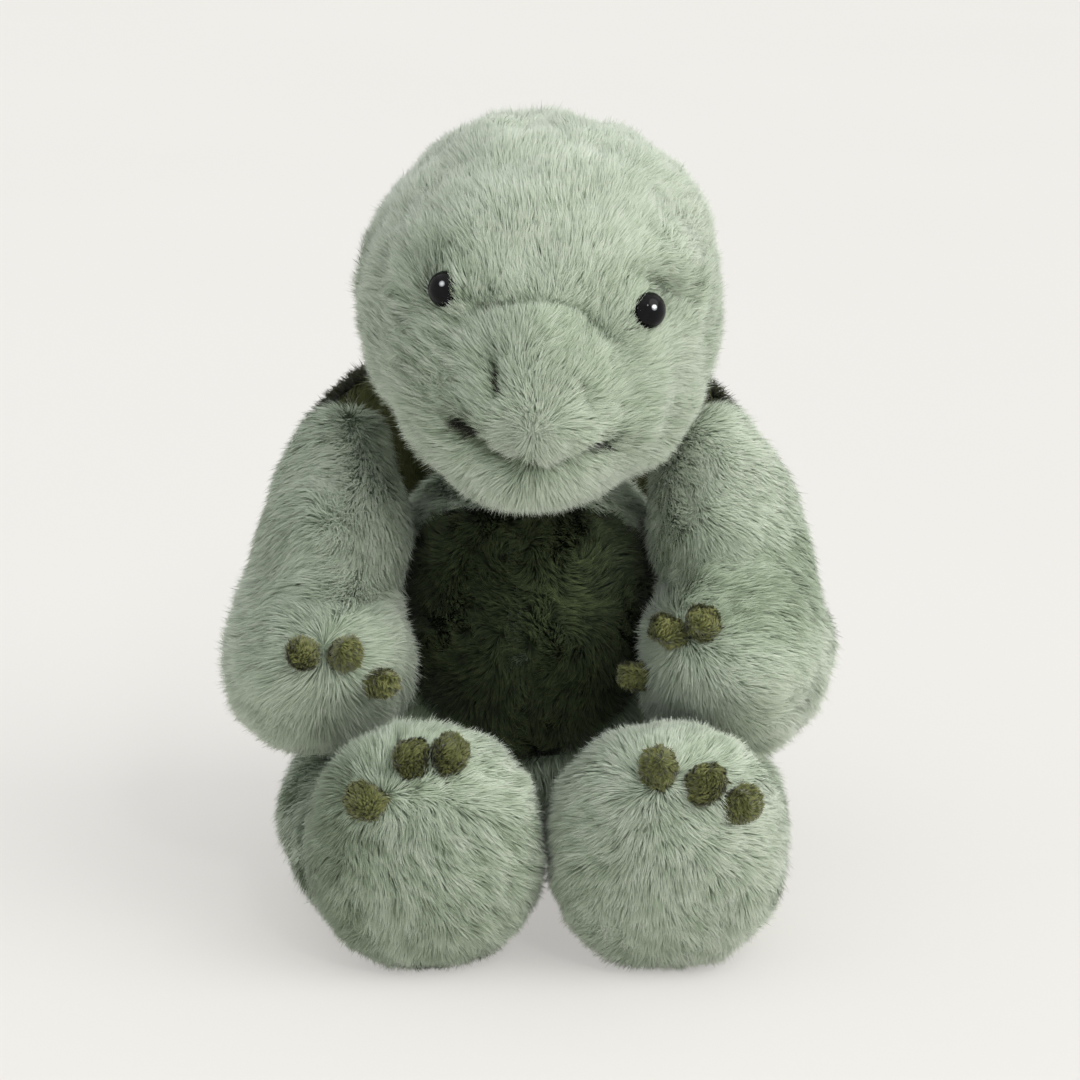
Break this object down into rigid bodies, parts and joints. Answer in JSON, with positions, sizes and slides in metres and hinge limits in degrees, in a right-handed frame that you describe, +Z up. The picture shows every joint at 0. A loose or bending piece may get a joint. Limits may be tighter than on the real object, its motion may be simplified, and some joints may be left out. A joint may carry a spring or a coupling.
{
  "type": "plush turtle",
  "caption": "Seated plush turtle with a domed shell on its back, a dark belly panel, floppy limbs with soft claws and a head that nods and turns.",
  "frame": {"origin": "on the ground, under the middle of the bounding box", "axes": "+Z up; the turtle faces -Y; its left side is at +X"},
  "size_m": [0.2174, 0.22, 0.286],
  "materials": {
    "pale_fur": "long soft pile",
    "belly_fur": "long soft pile",
    "shell_fur": "long soft pile",
    "claw_fur": "short soft pile",
    "eye_gloss": "polished",
    "washer_plastic": "as moulded",
    "stuffing_fibre": "loose polyester fibre",
    "bean_bag_cloth": "plain weave"
  },
  "bodies": {
    "torso": {"body_cover": "pale_fur", "belly_panel": "belly_fur", "shell_pad": "shell_fur", "tail": "pale_fur", "body_stuffing": "stuffing_fibre", "shell_stuffing": "stuffing_fibre", "bean_bag": "bean_bag_cloth"},
    "neck": {"neck": "pale_fur"},
    "head": {"head_cover": "pale_fur", "chin_gusset": "pale_fur", "eye_left": "eye_gloss", "eye_right": "eye_gloss", "eye_washer_left": "washer_plastic", "eye_washer_right": "washer_plastic", "head_stuffing": "stuffing_fibre"},
    "arm_left": {"arm_left": "pale_fur", "arm_left_stuffing": "stuffing_fibre", "paw_claw_outer_left": "claw_fur", "paw_claw_middle_left": "claw_fur", "paw_claw_inner_left": "claw_fur"},
    "arm_right": {"arm_right": "pale_fur", "arm_right_stuffing": "stuffing_fibre", "paw_claw_outer_right": "claw_fur", "paw_claw_middle_right": "claw_fur", "paw_claw_inner_right": "claw_fur"},
    "leg_left": {"leg_left": "pale_fur", "leg_left_stuffing": "stuffing_fibre", "foot_left": "pale_fur", "foot_left_stuffing": "stuffing_fibre", "foot_claw_outer_left": "claw_fur", "foot_claw_middle_left": "claw_fur", "foot_claw_inner_left": "claw_fur"},
    "leg_right": {"leg_right": "pale_fur", "leg_right_stuffing": "stuffing_fibre", "foot_right": "pale_fur", "foot_right_stuffing": "stuffing_fibre", "foot_claw_outer_right": "claw_fur", "foot_claw_middle_right": "claw_fur", "foot_claw_inner_right": "claw_fur"}
  },
  "joints": [
    {"name": "neck_turn", "type": "hinge", "parent": "torso", "child": "neck", "pos_m": [0, 0.014, 0.168], "axis": [0, 0, 1], "range_deg": [-8, 8]},
    {"name": "head_nod", "type": "hinge", "parent": "neck", "child": "head", "pos_m": [0, 0.014, 0.168], "axis": [1, 0, 0], "range_deg": [-16, 2]},
    {"name": "shoulder_left", "type": "hinge", "parent": "torso", "child": "arm_left", "pos_m": [0.05902, 0.014, 0.143], "axis": [0, -1, 0], "range_deg": [0, 34]},
    {"name": "shoulder_right", "type": "hinge", "parent": "torso", "child": "arm_right", "pos_m": [-0.05907, 0.014, 0.143], "axis": [0, 1, 0], "range_deg": [0, 34]},
    {"name": "hip_left", "type": "hinge", "parent": "torso", "child": "leg_left", "pos_m": [0.0575, 0, 0.0295], "axis": [1, 0, 0], "range_deg": [0, 75]},
    {"name": "hip_right", "type": "hinge", "parent": "torso", "child": "leg_right", "pos_m": [-0.0545, 0, 0.0295], "axis": [1, 0, 0], "range_deg": [0, 75]}
  ]
}
